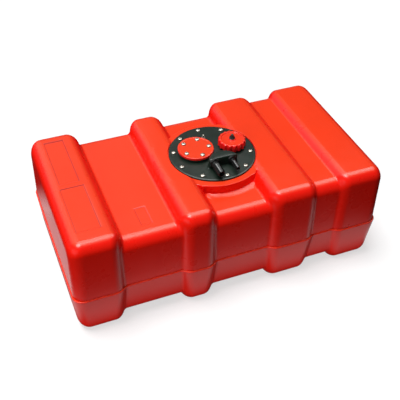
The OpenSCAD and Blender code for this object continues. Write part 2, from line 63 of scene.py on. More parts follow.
def shoulder(drop, crest_r, foot_r, points=8):
    """Side view of a rib's shoulder: a crest arc and a foot arc that share one tangent.
    Both turn by the angle whose cosine is one less the drop over the sum of the radii.
    Gives how far along and how far down each point lies from where the crest starts."""
    steep = math.acos(1.0 - drop / (crest_r + foot_r))
    crest = np.linspace(0.0, steep, points, endpoint=False)
    foot = np.linspace(steep, 0.0, points + 1)
    run = np.hstack((
        crest_r * np.sin(crest),
        (crest_r + foot_r) * math.sin(steep) - foot_r * np.sin(foot)))
    fall = np.hstack((
        crest_r * (1.0 - np.cos(crest)),
        drop - foot_r * (1.0 - np.cos(foot))))
    return run, fall


def between(start, end, count):
    """Evenly spaced places between two ends, without the ends."""
    return np.linspace(start, end, count + 2)[1:-1]


def stations(half, flat_lines, floor_lines):
    """Stations along a half of the tank, from the middle of one end face to that of the other.
    Each row gives the place along the tank on the side wall and on the top, the depth of the
    side wall and of the top under the ribs, the scale of the section, which runs to nothing at
    the middle of an end face, the way in which the wall leans, and the radius of the top edge."""
    rows = []

    def lay(side_x, top_x, side_d, top_d, scale, lean, corner=half["corner_r"]):
        rows.append(np.broadcast_arrays(side_x, top_x, side_d, top_d, scale, lean, corner))

    end_r = half["end_r"]
    end_x = RIB_EDGES[-1][1] - half["rim_in"]
    turn = np.radians(np.linspace(90.0, 0.0, 10))
    inset = end_r * (1.0 - np.cos(turn))
    corner = half["corner_r"] * (1.0 - END_LOSS * (1.0 - np.cos(turn)))
    face = np.linspace(0.0, 1.0, 10)[:-1]
    lay(-end_x, -end_x, end_r, end_r, face, 1.0, corner[0])
    end_arc = -end_x + end_r * (1.0 - np.sin(turn))
    lay(end_arc, end_arc, inset, inset, 1.0, 1.0, corner)
    side_from = top_from = end_arc[-1]
    for i, (_, high) in enumerate(RIB_EDGES[:-1]):
        side_drop, top_drop = half["side_drop"][i], half["top_drop"][i]
        side_run, side_fall = shoulder(side_drop, half["side_crest"], half["side_foot"])
        top_run, top_fall = shoulder(top_drop, half["top_crest"], half["top_foot"])
        edge = high - half["rim_in"]
        side_to, top_to = edge - side_run[-1], edge - half["top_crest"]
        lines = flat_lines[i]
        along = (lines - top_from) / (top_to - top_from)
        lay(side_from + along * (side_to - side_from), lines, 0.0, 0.0, 1.0, 1.0 - 2.0 * along)
        round_r = half["corner_r"] + (half["groove_r"] - half["corner_r"]) * top_fall / top_drop
        lay(side_to + side_run, top_to + top_run, side_fall, top_fall, 1.0, -1.0, round_r)
        next_edge = RIB_EDGES[i + 1][0] + half["rim_in"]
        side_from, top_from = next_edge + side_run[-1], next_edge + half["top_crest"]
        floor_side = (side_to + side_run[-1], side_from - side_run[-1])
        floor_top = (top_to + top_run[-1], top_from - top_run[-1])
        lines = floor_lines[i]
        along = (lines - floor_top[0]) / (floor_top[1] - floor_top[0])
        lay(floor_side[0] + along * (floor_side[1] - floor_side[0]), lines,
            side_drop, top_drop, 1.0, 2.0 * along - 1.0, half["groove_r"])
        lay(side_from - side_run[::-1], top_from - top_run[::-1],
            side_fall[::-1], top_fall[::-1], 1.0, 1.0, round_r[::-1])
    lines = flat_lines[-1]
    along = (lines - top_from) / (-end_arc[-1] - top_from)
    lay(side_from + along * (-end_arc[-1] - side_from), lines, 0.0, 0.0, 1.0, 1.0 - 2.0 * along)
    lay(-end_arc[::-1], -end_arc[::-1], inset[::-1], inset[::-1], 1.0, -1.0, corner[::-1])
    lay(end_x, end_x, end_r, end_r, face[::-1], -1.0, corner[0])
    return [np.hstack(column)[:, None] for column in zip(*rows)]


def half_skin(half, rim, top_y, flat_lines, floor_lines):
    """Outside of one half as a grid: stations along the tank by lines round the section.
    A section is a leaning side wall, a quarter turn of the corner radius, the flat top, and the
    same again; the place along the tank goes over from the side wall's to the top's in the turn.
    Gives x, y, height above the joint, and how far each line is on the top."""
    side_x, top_x, side_d, top_d, scale, lean, corner = stations(half, flat_lines, floor_lines)
    slope = math.atan(half["lean"] / half["height"])
    foot_y = HALF_WIDTH - half["rim_in"] - side_d
    corner_h = half["height"] - top_d - corner
    corner_y = foot_y - math.tan(slope) * corner_h - corner / math.cos(slope)
    rim_h, rim_in = np.array(rim).T
    wall_at = np.linspace(0.0, 1.0, 9)[None, 1:-1]
    wall_h = rim_h[-1] + (corner_h + corner * math.sin(slope) - rim_h[-1]) * wall_at
    side_h = np.hstack((np.broadcast_to(rim_h, (len(wall_h), len(rim_h))), wall_h))
    side_y = foot_y - math.tan(slope) * side_h
    turn = np.linspace(slope, math.pi / 2.0, 11)[None, :]
    turn_y, turn_h = corner_y + corner * np.cos(turn), corner_h + corner * np.sin(turn)
    flat_y = top_y[None, :] / np.abs(top_y).max() * (corner_y * TOP_REACH)
    flat_h = np.broadcast_to(half["height"] - top_d, flat_y.shape)
    y = np.hstack((-side_y, -turn_y, flat_y, turn_y[:, ::-1], side_y[:, ::-1])) * scale
    h = np.hstack((side_h, turn_h, flat_h, turn_h[:, ::-1], side_h[:, ::-1])) * scale
    part = np.linspace(0.0, 1.0, turn.size)
    turning = part * part * (3.0 - 2.0 * part)
    on_top = np.hstack((
        np.zeros(side_h.shape[1]), turning, np.ones(top_y.size), turning[::-1],
        np.zeros(side_h.shape[1])))[None, :]
    x = side_x + (top_x - side_x) * on_top + lean * half["lean"] * h / half["height"]
    outward = np.gradient(np.stack((side_x[:, 0], (foot_y * scale)[:, 0])), axis=1)
    outward /= np.hypot(*outward)
    count = len(rim)
    x[:, :count] += outward[1][:, None] * rim_in
    x[:, -count:] += outward[1][:, None] * rim_in[::-1]
    y[:, :count] += outward[0][:, None] * rim_in
    y[:, -count:] -= outward[0][:, None] * rim_in[::-1]
    return x, y, h, on_top


def grid_faces(rows, columns, flip=False):
    """The four corner numbers of every cell in a grid of points."""
    corner = (np.arange(rows - 1)[:, None] * columns + np.arange(columns - 1)[None, :]).ravel()
    around = np.stack((corner, corner + columns, corner + columns + 1, corner + 1), axis=1)
    return around[:, ::-1] if flip else around


def linked(name, data):
    """A new object in the scene."""
    made = bpy.data.objects.new(name, data)
    bpy.context.scene.collection.objects.link(made)
    return made


def piece(name, points, faces, material, slot, body="tank", smooth_angle=50.0):
    """A mesh object made of points in millimetres and faces, with doubled points merged."""
    mesh = bpy.data.meshes.new(name)
    mesh.from_pydata((points.reshape(-1, 3) * MM).tolist(), [], faces.tolist())
    work = bmesh.new()
    work.from_mesh(mesh)
    bmesh.ops.remove_doubles(work, verts=work.verts, dist=0.00001)
    bmesh.ops.dissolve_degenerate(work, edges=work.edges, dist=0.000002)
    work.to_mesh(mesh)
    work.free()
    mesh.shade_smooth()
    if smooth_angle is not None:
        mesh.set_sharp_from_angle(angle=math.radians(smooth_angle))
    mesh.materials.append(material)
    made = linked(name, mesh)
    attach(made, body)
    return made


def moulded_wall(made):
    """Gives a skin the thickness of the moulded wall, inwards, and lets its large flat faces set
    the shading beside the round edges."""
    wall = made.modifiers.new("wall", "SOLIDIFY")
    wall.thickness, wall.offset, wall.use_even_offset = WALL * MM, -1.0, False
    made.modifiers.new("even_shading", "WEIGHTED_NORMAL").keep_sharp = True


class Wire:
    """A shader socket that can be added, multiplied and so on. Each operator adds one Math node."""

    def __init__(self, tree, socket=None):
        self.tree = tree
        self.socket = socket

    def make(self, kind, settings=None, sockets=None, output=0):
        """Adds a node: its settings first, then a wire, a number or a colour for each input."""
        made = self.tree.nodes.new(kind)
        for key, value in (settings or {}).items():
            setattr(made, key, value)
        for key, value in (sockets or {}).items():
            if isinstance(value, Wire):
                self.tree.links.new(value.socket, made.inputs[key])
            else:
                value = (*value, 1.0) if isinstance(value, tuple) else value
                made.inputs[key].default_value = value
        return Wire(self.tree, made.outputs[output] if len(made.outputs) else None)

    def maths(self, operation, first, second=0.0):
        return self.make("ShaderNodeMath", {"operation": operation}, {0: first, 1: second})

    def __add__(self, other):
        return self.maths("ADD", self, other)

    def __sub__(self, other):
        return self.maths("SUBTRACT", self, other)

    def __mul__(self, other):
        return self.maths("MULTIPLY", self, other)

    def part(self, axis):
        """One of the three parts of the place or direction that this wire holds."""
        return self.make("ShaderNodeSeparateXYZ", None, {0: self}, axis)

    def noise(self, scale, detail=3.0, roughness=0.5):
        """Cloudy noise from 0 to 1 over the place that this wire holds, in cycles to the metre."""
        return self.make("ShaderNodeTexNoise", None, {
            "Vector": self, "Scale": scale, "Detail": detail, "Roughness": roughness})

    def blend(self, low, high):
        """A colour that goes from low to high as this wire goes from 0 to 1."""
        return self.make("ShaderNodeMix", {"data_type": "RGBA"}, {0: self, 6: low, 7: high}, 2)

    def span(self, low, high):
        """0 below low, 1 above high, and a smooth rise between them."""
        return self.make("ShaderNodeMapRange", {"interpolation_type": "SMOOTHSTEP"}, {
            "Value": self, "From Min": low, "From Max": high})


def bare_tree(owner):
    """A wire to start from, in the emptied node tree of a material or of the world."""
    owner.use_nodes = True
    owner.node_tree.nodes.clear()
    return Wire(owner.node_tree)


def finish(name, colour, roughness, bump, depth, **constants):
    """A material with one Principled shader. Its colour, roughness and bump come from functions of
    the place on the piece; constants go on its sockets."""
    material = bpy.data.materials.new(name)
    start = bare_tree(material)
    place = start.make("ShaderNodeTexCoord", output="Object")
    sockets = {"Base Color": colour(place), "Roughness": roughness(place)}
    sockets["Normal"] = start.make("ShaderNodeBump", None, {
        "Strength": 1.0, "Distance": depth, "Height": bump(place)})
    for key, value in constants.items():
        sockets[key.replace("_", " ").title().replace("Ior", "IOR")] = value
    shader = start.make("ShaderNodeBsdfPrincipled", None, sockets)
    start.make("ShaderNodeOutputMaterial", None, {"Surface": shader})
    return material


def moulded(name, top, side, roughness):
    """Red polyethylene as it leaves the mould: slightly cloudy, with painted light in its
    colour, orange on the faces that look up and a deeper red on the sides, painted shade and
    dullness in a sunk line, satin with rubbed patches, smoother where it is level, and with a
    skin that is a little wavy over a hand's width and finely pebbled."""
    cloud_shade, line_shade, line_dull, level_polish = 0.93, 0.5, 0.6, 0.09

    def upward(place):
        return place.make("ShaderNodeNewGeometry", output="Normal").part("Z")

    # How much painted shade lies on a point beside a panel's edge
    def sunk(place):
        return place.make("ShaderNodeAttribute", {"attribute_name": "painted_panel_shade"}, None, "Fac")

    def colour(place):
        # Painted light: faces that look up turn to the orange top colour, the sides keep the deeper
        # red
        up = upward(place).span(0.78, 1.0)
        cloud = (place.noise(9.0, 4.0) * 0.7 + place.noise(420.0, 2.0) * 0.3).span(0.3, 0.7)
        deep = [tuple(c * cloud_shade for c in red) for red in (side, top)]
        red = cloud.blend(up.blend(*deep), up.blend(side, top))
        # Painted shade darkens the red along the panels' edges
        return sunk(place).blend(red, (side[0] * line_shade, side[1], side[2]))

    def satin(place):
        rubbed = place.noise(26.0, 4.0, 0.5) * 0.08 + (roughness - 0.04)
        level = upward(place).span(0.985, 1.0)
        return rubbed - level * level_polish + sunk(place) * line_dull

    def skin(place):
        return place.noise(13.0, 2.0) * 0.9 + place.noise(900.0, 2.0) * 0.035

    return finish(name, colour, satin, skin, 0.0009, IOR=1.5, specular_ior_level=0.32)


# Colours for faces that look up and for the sides; the orange of the first is painted light
red_lower = moulded("red_lower", (0.92, 0.048, 0.014), (0.95, 0.014, 0.006), 0.30)
lower_flats = [between(low + RIB_CLEAR, high - RIB_CLEAR, 7) for low, high in RIB_EDGES]
lower_floors = [
    between(left[1] + GROOVE_CLEAR, right[0] - GROOVE_CLEAR, 6)
    for left, right in zip(RIB_EDGES, RIB_EDGES[1:])]
x, y, h, _ = half_skin(LOWER, LOWER_RIM, np.linspace(-1.0, 1.0, 31), lower_flats, lower_floors)
lower_half = piece(
    "lower_half", np.stack((x, y, SEAM_Z - h), axis=-1), grid_faces(*x.shape, flip=True),
    red_lower, slot="red_lower", smooth_angle=None)
moulded_wall(lower_half)
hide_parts("lower_shell")


# Upper half of the tank, moulded like the lower one and welded on its rim. A round boss stands in
# the wide groove, and the mould sinks shallow panels into the left rib and the first groove.
UPPER = dict(
    height=133.0, lean=2.0, rim_in=2.0, end_r=24.0, corner_r=22.0, groove_r=23.5,
    top_drop=(25.0, 25.0, 12.0), side_drop=(11.0, 11.0, 8.5),
    top_crest=22.0, top_foot=8.0, side_crest=26.0, side_foot=10.0,
)
UPPER_RIM = ((0.0, 3.0), (0.1, 0.9), (0.6, 0.25), (1.4, 0.0), (3.0, 0.0))
TOP_Z = 227.0
FLOOR_Z = TOP_Z - UPPER["top_drop"][1]
PLATE_X, PLATE_Y = 18.25, 0.0
BOSS_TOP, BOSS_R, BOSS_EDGE_R, BOSS_WALL = 223.0, 101.5, 1.4, 88.0
# The foot of the boss is a tight arc and then a wide one, which take over at this slope
BOSS_FOOT_R, BOSS_SPREAD_R, BOSS_SPREAD = 1.5, 29.0, 25.0
# Corner of boss and rib, how far off the plate's seat it starts, the way over which it comes and
# goes, and how far a rib's wall is from the groove's middle
BOSS_CORNER, CORNER_FROM, CORNER_FADE, TO_RIB_WALL = 9.0, 4.0, 6.0, 53.5
# The round seat for the plate, which is sunk into the ribs, and the opening inside it
PLATE_SEAT_R, OPENING_R = 89.5, 65.0
# Reach of the rings that make up the boss and what it stands on, and of the ribs' line beyond
BOSS_REACH, LINE_BEYOND = 118.0, 30.0
# Left, right, front and rear edge of each sunk panel
PANELS = (
    (-293.0, -255.0, 7.0, 143.0),
    (-296.0, -250.0, -132.0, -7.5),
    (-174.0, -153.0, -128.0, -80.0),
)
PANEL_DEPTH = 0.9
# Lines beside a panel's edge, how far plain lines keep from it, how far off a point counts as on
# it, and how far under the top a panel can lie
PANEL_STEP = np.array((-1.5, -0.7, 0.7, 1.5))
PANEL_CLEAR, PANEL_SLACK, PANEL_UNDER = 3.0, 0.1, 30.0
# How dark the painted shade of the line is along those edges: left, right, front and rear
PANEL_SHADE = (0.45, 0.8, 0.15, 1.0)
# Share of the lean at the top edge's turn, how far plain lines keep from a rib's edges, and start,
# end and number of those on each groove's floor
LEAN_AT_TURN, TOP_CLEAR = 0.835, 26.0
FLOOR_LINES = ((-213.0, -118.0, 24), (-28.0, 64.5, 22), (184.0, 211.0, 5))


def boss_line():
    """Side view of the boss as radius and height: a round edge, a steep wall, a tight hollow arc
    and a wide one that runs out level on the floor of the wide groove. Each arc turns between two
    slopes."""
    steep, easy = math.radians(BOSS_WALL), math.radians(BOSS_SPREAD)

    def arc(radius, begin, end):
        turn = np.linspace(begin, end, 9)
        return radius * np.abs((np.sin(turn) - math.sin(begin), np.cos(turn) - math.cos(begin)))

    edge = arc(BOSS_EDGE_R, 0.0, steep)
    foot = arc(BOSS_FOOT_R, steep, easy)
    spread = arc(BOSS_SPREAD_R, easy, 0.0)
    straight = BOSS_TOP - FLOOR_Z - edge[1, -1] - foot[1, -1] - spread[1, -1]
    downwards = np.array(((straight / math.tan(steep),), (straight,)))
    wall = edge[:, -1:] + downwards * np.linspace(0.0, 1.0, 6)[1:]
    foot += wall[:, -1:]
    spread += foot[:, -1:]
    run, fall = np.hstack((edge, wall[:, :-1], foot, spread[:, 1:]))
    return BOSS_R - BOSS_EDGE_R + run, BOSS_TOP - fall


def boss_skin(angle, top_x, top_z):
    """The boss and what it stands on, as rings from the opening to the reach of the rings. The
    height is the larger of the boss's line and of the ribs' line along the tank. Where a rib's
    wall is about as near as the boss's, both are drawn together by a quarter of the corner's size
    times the squared share by which they are alike. Inside the plate's seat all is level with the
    boss's top."""
    run, rise = boss_line()
    lip = PLATE_SEAT_R + np.array((0.0, 0.0, 0.15, 0.5, 1.0))
    lip_fall = np.array((TOP_Z, 0.9, 0.35, 0.05, 0.0))
    seat = np.linspace(OPENING_R, PLATE_SEAT_R, 5)[:-1]
    ring = np.hstack((
        seat, lip, np.linspace(lip[-1], run[0], 7)[1:-1], run,
        np.linspace(run[-1], BOSS_REACH, 3)[1:]))[:, None]
    line = np.interp(ring, run, rise)
    fall = np.hstack((np.full(seat.size, TOP_Z), lip_fall))[:, None]
    across, along = np.cos(angle)[None, :], np.sin(angle)[None, :]
    from_rib = TO_RIB_WALL - np.abs(ring * across)
    alike = np.clip(1.0 - np.abs(from_rib - (ring - BOSS_R)) / BOSS_CORNER, 0.0, 1.0)
    fade = (np.clip((ring - PLATE_SEAT_R - CORNER_FROM) / CORNER_FADE, 0.0, 1.0)
            * np.clip((BOSS_REACH - ring) / CORNER_FADE, 0.0, 1.0))
    drawn = alike * alike * BOSS_CORNER / 4.0 * fade
    x, y = PLATE_X + (ring + drawn) * across, PLATE_Y + (ring + drawn) * along
    z = np.maximum(np.interp(x + drawn * np.sign(across), top_x, top_z), line)
    z[:len(fall)] = np.maximum(z[:len(fall)] - fall, BOSS_TOP)
    return np.stack((x, y, z), axis=-1)


def panel_lines(edges, plain):
    """Grid lines on both sides of each panel edge, among plain lines that keep clear of them."""
    edges = np.asarray(edges)
    plain = plain[np.abs(plain[:, None] - edges[None, :]).min(axis=1) > PANEL_CLEAR]
    return np.sort(np.hstack((plain, (edges[:, None] + PANEL_STEP).ravel())))


def sunk_lines(made):
    """Writes painted shade near the panels' edges, as the attribute that the finish reads."""
    place = np.empty(len(made.data.vertices) * 3, np.float32)
    made.data.vertices.foreach_get("co", place)
    x, y, z = place.reshape(-1, 3).T / MM
    shade = np.zeros(x.size, np.float32)
    for left, right, front, rear in PANELS:
        reach = PANEL_STEP[2] + PANEL_SLACK
        among = ((x > left - reach) & (x < right + reach) & (y > front - reach)
                 & (y < rear + reach) & (z > TOP_Z - PANEL_UNDER))
        # Painted shade: each edge of a panel gets its own darkness from PANEL_SHADE
        for at, edge, dark in zip((x, x, y, y), (left, right, front, rear), PANEL_SHADE):
            shade = np.maximum(shade, dark * (among & (np.abs(at - edge) < reach)))
    made.data.attributes.new("painted_panel_shade", "FLOAT", "POINT").data.foreach_set("value", shade)


rib_y = HALF_WIDTH - UPPER["rim_in"] - UPPER["lean"] * LEAN_AT_TURN - UPPER["corner_r"]
plain_y = np.linspace(-rib_y, rib_y, 71)
panel_y = [edge for panel in PANELS[:2] for edge in panel[2:4]]
groove_y = rib_y - UPPER["side_drop"][0] - UPPER["groove_r"] + UPPER["corner_r"]
small_y = np.array(PANELS[2][2:4]) * rib_y / groove_y
top_y = panel_lines(np.hstack((panel_y, small_y)), plain_y)
upper_flats = [between(low + TOP_CLEAR, high - TOP_CLEAR, 7) for low, high in RIB_EDGES]
upper_flats[0] = panel_lines(
    [edge for panel in PANELS[:2] for edge in panel[:2]],
    between(RIB_EDGES[0][0] + TOP_CLEAR, RIB_EDGES[0][1] - TOP_CLEAR, 16))
upper_floors = [between(*lines) for lines in FLOOR_LINES]
upper_floors[0] = panel_lines(PANELS[2][:2], upper_floors[0])
x, y, h, on_top = half_skin(UPPER, UPPER_RIM, top_y, upper_flats, upper_floors)
z = SEAM_Z + h
along_top = on_top[0] == 1.0
middle = np.flatnonzero(along_top)[along_top.sum() // 2]
near = np.abs(x[:, middle] - PLATE_X) < BOSS_REACH + LINE_BEYOND
ribs_x, ribs_z = x[near, middle], z[near, middle]
for left, right, front, rear in PANELS:
    inside = (x > left) & (x < right) & (y > front) & (y < rear) & (on_top == 1.0)
    z = z - PANEL_DEPTH * inside
skin = np.stack((x, y, z), axis=-1).reshape(-1, 3)
faces = grid_faces(*x.shape)
off_boss = skin[:, :2] - (PLATE_X, PLATE_Y)
from_boss = np.hypot(*off_boss.T)
under_boss = (from_boss < BOSS_REACH) & np.broadcast_to(along_top, x.shape).ravel()
holed = under_boss[faces].any(axis=1)
on_edge = np.intersect1d(faces[holed], faces[~holed])
edge_off = off_boss[on_edge] * (BOSS_REACH / from_boss[on_edge])[:, None]
skin[on_edge, :2] = edge_off + (PLATE_X, PLATE_Y)
skin[on_edge, 2] = np.interp(skin[on_edge, 0], ribs_x, ribs_z)
edge_angle = np.sort(np.arctan2(edge_off[:, 1], edge_off[:, 0]))
boss = boss_skin(np.append(edge_angle, edge_angle[0]), ribs_x, ribs_z)
boss_faces = grid_faces(*boss.shape[:2]) + len(skin)
# Painted light: orange where the faces look up, deeper red on the sides
red_upper = moulded("red_upper", (0.92, 0.048, 0.010), (0.95, 0.010, 0.003), 0.28)
upper_half = piece(
    "upper_half", np.vstack((skin, boss.reshape(-1, 3))),
    np.vstack((faces[~holed], boss_faces)), red_upper, slot="red_upper")
sunk_lines(upper_half)
moulded_wall(upper_half)
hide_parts("upper_shell")


# Fixings in the boss: brass inserts moulded into it for the screws, and a flat rubber gasket that
# seals the plate on it. Both stay as the solids have them.
def dressed(node, material):
    """Gives a solid of the frame its finish."""
    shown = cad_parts[node]
    shown.data.materials.clear()
    shown.data.materials.append(material)


def turned_metal(name, colour, dull, roughness, metallic):
    """Bright metal off a lathe: a little cloudy and dulled in patches, with fine tool marks."""
    return finish(
        name,
        lambda place: place.noise(170.0, 4.0).span(0.35, 0.75).blend(colour, dull),
        lambda place: place.noise(600.0, 3.0) * 0.16 + roughness,
        lambda place: place.noise(2600.0, 2.0), 0.00004, metallic=metallic)


def grey(value):
    """A colour whose three parts are alike."""
    return (value, value, value)


insert_brass = turned_metal("insert_brass", (0.76, 0.55, 0.22), (0.55, 0.37, 0.14), 0.24, 1.0)
# Near black, with a bloom of pale dust and a fine grain
gasket_rubber = finish(
    "gasket_rubber",
    lambda place: place.noise(90.0, 4.0).span(0.4, 0.8).blend(grey(0.012), (0.030, 0.030, 0.029)),
    lambda place: place.noise(300.0, 2.0) * 0.2 + 0.55,
    lambda place: place.noise(1800.0, 2.0), 0.00008)
dressed("plate_inserts", insert_brass)
dressed("plate_gasket", gasket_rubber)


# Fitting plate: one black nylon moulding, screwed down on the gasket. A low round seat for the
# gauge, the threaded filler neck and the housing for the hose tails stand on it.
PLATE_BOTTOM, PLATE_TOP, PLATE_R = BOSS_TOP + 1.0, BOSS_TOP + 4.0, 88.0
# The plate's rim slopes down over this width, by this much
RIM_SLOPE_W, RIM_SLOPE = 2.6, 0.55
NECK_X, NECK_Y, NECK_R, NECK_BORE_R = PLATE_X + 46.0, PLATE_Y + 7.0, 22.0, 18.0
NECK_ROOT, NECK_TOP, THREAD_H, THREAD_PITCH = PLATE_TOP + 5.0, PLATE_TOP + 12.5, 1.0, 4.0
SEAT_X, SEAT_Y, SEAT_R, SEAT_BORE_R = PLATE_X - 31.0, PLATE_Y + 12.0, 34.5, 21.0
SEAT_TOP, SEAT_FOOT = PLATE_TOP + 5.0, PLATE_TOP - 0.4
HOUSING_X, HOUSING_Y, HOUSING_R = PLATE_X + 5.0, PLATE_Y - 53.0, 32.0
HOUSING_TOP, HOUSING_EDGE_R, HOUSING_CORNER_R = PLATE_TOP + 19.5, 5.0, 2.5
# How far out and how far above the plate each line of the housing's hollow foot lies
HOUSING_FLARE = np.array(((0.3, 2.2), (0.7, 1.0), (1.2, 0.4), (2.0, 0.0)))
HOUSING_FOOT = PLATE_TOP - 0.8
FACE_Y = PLATE_Y - 46.0


def rounded(corners, points=6):
    """A line of straight runs through corners given as across and up, and radius where it is round.
    Such a corner is turned by an arc about a centre on its bisector, at the radius over the sine of
    half the corner's angle; the arc's points share out the turn evenly between its two ends."""
    corners = np.array([(*corner, 0.0)[:3] for corner in corners])
    place, radius = corners[:, :2], corners[:, 2]
    line = []
    for i in range(len(place)):
        if radius[i] == 0.0:
            line.append(place[i:i + 1])
            continue
        back, ahead = place[i - 1] - place[i], place[i + 1] - place[i]
        back, ahead = back / np.hypot(*back), ahead / np.hypot(*ahead)
        half = 0.5 * math.acos(np.clip(back @ ahead, -1.0, 1.0))
        middle = (back + ahead) / np.hypot(*(back + ahead))
        centre = middle * radius[i] / math.sin(half)
        begin, end = (way * radius[i] / math.tan(half) - centre for way in (back, ahead))
        turn = math.pi - 2.0 * half
        share = np.linspace(0.0, 1.0, points)[:, None]
        arc = (np.sin((1.0 - share) * turn) * begin + np.sin(share * turn) * end) / math.sin(turn)
        line.append(place[i] + centre + arc)
    return np.vstack(line)


def once_round(count):
    """Angles from nought to a full turn, as a row."""
    return np.linspace(0.0, 2.0 * math.pi, count + 1)[None, :]


def turned(profile, count=96):
    """A turned surface: each point of a profile, given as radius and height, goes once round the
    axis. The profile runs outwards on top, down, and back inwards, so that faces look out."""
    angle = once_round(count)
    radius, height = profile[:, :1], profile[:, 1:2]
    place = np.broadcast_arrays(radius * np.cos(angle), radius * np.sin(angle), height)
    return np.stack(place, axis=-1)


def joined(*grids):
    """Points and faces of several grids, as one mesh."""
    starts = np.cumsum([0] + [grid[..., 0].size for grid in grids])
    faces = [grid_faces(*grid.shape[:2]) + start for grid, start in zip(grids, starts)]
    return np.vstack([grid.reshape(-1, 3) for grid in grids]), np.vstack(faces)


def housing_outline(inset, count=44):
    """Outline of the housing in plan, drawn in by an inset: a circle cut by the flat front face,
    with a small arc in both corners. An arc's centre is its radius away from circle and face."""
    circle_r, face_y = HOUSING_R - inset, FACE_Y + 0.5 * inset
    drop = face_y + HOUSING_CORNER_R - HOUSING_Y
    corner_x = math.sqrt((circle_r - HOUSING_CORNER_R) ** 2 - drop ** 2)
    lean = math.atan2(drop, corner_x)
    corner = np.linspace(-math.pi / 2.0, lean, 8)
    back = np.linspace(lean, math.pi - lean, count)[1:-1]
    right = np.stack((corner_x + HOUSING_CORNER_R * np.cos(corner),
                      drop + HOUSING_CORNER_R * np.sin(corner)), axis=-1)
    rear = np.stack((circle_r * np.cos(back), circle_r * np.sin(back)), axis=-1)
    left = right[::-1] * (-1.0, 1.0)
    front = np.linspace(left[-1], right[0], 14)[1:]
    return np.vstack((right, rear, left, front)) + (HOUSING_X, HOUSING_Y)


def housing_skin():
    """The housing as rings of its outline: a slightly crowned top, a round edge, a wall that flares
    into a hollow foot on the plate, and a bottom inside the plate."""
    crown, crown_edge, crown_in, behind_face = 0.4, 0.25, 5.0, 11.0
    turn = np.linspace(0.0, math.pi / 2.0, 8)
    inset = np.hstack((
        (HOUSING_EDGE_R + crown_in,), HOUSING_EDGE_R * (1.0 - np.sin(turn)),
        -HOUSING_FLARE[:, 0], -HOUSING_FLARE[-1:, 0]))
    height = np.hstack((
        (HOUSING_TOP + crown_edge,), HOUSING_TOP - HOUSING_EDGE_R * (1.0 - np.cos(turn)),
        PLATE_TOP + HOUSING_FLARE[:, 1], (HOUSING_FOOT,)))
    outlines = [housing_outline(i) for i in inset]
    rings = [np.column_stack((line, np.full(len(line), h))) for line, h in zip(outlines, height)]
    middle = np.array((HOUSING_X, FACE_Y + behind_face, 0.0))
    first = np.broadcast_to(middle + (0.0, 0.0, HOUSING_TOP + crown), rings[0].shape)
    last = np.broadcast_to(middle + (0.0, 0.0, HOUSING_FOOT), rings[0].shape)
    return np.stack((first, *rings, last))


def plate_skin(count=144):
    """The plate with its filler neck, as rings: up the bore, over the lip, down the thread, out
    over the plate, round its rim, and back under it. Each ring has its own centre. The thread is a
    wave of one pitch, cut off level at its crests and roots."""
    root_r = NECK_R - THREAD_H
    thread_z = np.linspace(NECK_TOP - 1.4, PLATE_TOP + 1.5, 41)
    wave = np.cos(2.0 * math.pi * (thread_z - NECK_TOP + 3.5) / THREAD_PITCH)
    ridge = root_r + THREAD_H * np.clip(0.5 + 0.9 * wave, 0.0, 1.0)
    lip = rounded((
        (NECK_BORE_R, NECK_ROOT), (NECK_BORE_R, NECK_TOP, 0.7), (root_r, NECK_TOP, 0.7),
        (root_r, NECK_TOP - 1.3)))
    neck = np.vstack((
        lip, np.column_stack((ridge, thread_z)),
        [(NECK_R - 0.6, PLATE_TOP + 0.6), (NECK_R, PLATE_TOP + 0.15), (NECK_R + 1.0, PLATE_TOP)]))
    rim = rounded((
        (PLATE_R - 6.0, PLATE_TOP), (PLATE_R - RIM_SLOPE_W, PLATE_TOP, 4.0),
        (PLATE_R, PLATE_TOP - RIM_SLOPE, 0.6), (PLATE_R, PLATE_BOTTOM, 0.5),
        (PLATE_R - 4.0, PLATE_BOTTOM)))
    bore = np.array(((NECK_BORE_R + 0.4, PLATE_BOTTOM), (NECK_BORE_R, PLATE_BOTTOM + 0.4),
                     (NECK_BORE_R, NECK_ROOT)))
    rings = np.vstack((neck, rim, bore))
    on_plate = np.repeat((0.0, 1.0, 0.0), (len(neck), len(rim), len(bore)))[:, None]
    angle = once_round(count)
    x = NECK_X + (PLATE_X - NECK_X) * on_plate + rings[:, :1] * np.cos(angle)
    y = NECK_Y + (PLATE_Y - NECK_Y) * on_plate + rings[:, :1] * np.sin(angle)
    return np.stack(np.broadcast_arrays(x, y, rings[:, 1:]), axis=-1)


def black_moulding(name, dark, light, roughness, grain, shine=0.5):
    """Black nylon: a dull cast, paler where it is rubbed, with the grain of a spark-cut mould."""
    return finish(
        name,
        lambda place: (place.noise(24.0, 4.0) * 0.6 + place.noise(700.0, 2.0) * 0.4)
        .span(0.32, 0.68).blend(dark, light),
        lambda place: place.noise(55.0, 4.0, 0.6) * 0.16 + roughness,
        lambda place: place.noise(1500.0, 3.0) + place.noise(60.0, 2.0) * 1.5, grain,
        specular_ior_level=shine)


plate_nylon = black_moulding(
    "plate_nylon", (0.005, 0.013, 0.008), (0.012, 0.021, 0.015), 0.24, 0.00010, 0.30)
seat_inside = SEAT_TOP - 3.0
gauge_seat = turned(rounded((
    (SEAT_BORE_R, seat_inside), (SEAT_BORE_R, SEAT_TOP, 0.4), (SEAT_R, SEAT_TOP, 0.6),
    (SEAT_R, PLATE_TOP + 0.3), (SEAT_R + 0.6, SEAT_FOOT), (SEAT_BORE_R, SEAT_FOOT),
    (SEAT_BORE_R, seat_inside))))
plate = piece(
    "plate_moulding", *joined(plate_skin(), gauge_seat + (SEAT_X, SEAT_Y, 0.0), housing_skin()),
    plate_nylon, slot="black_plate", smooth_angle=40.0)
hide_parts("fitting_plate")


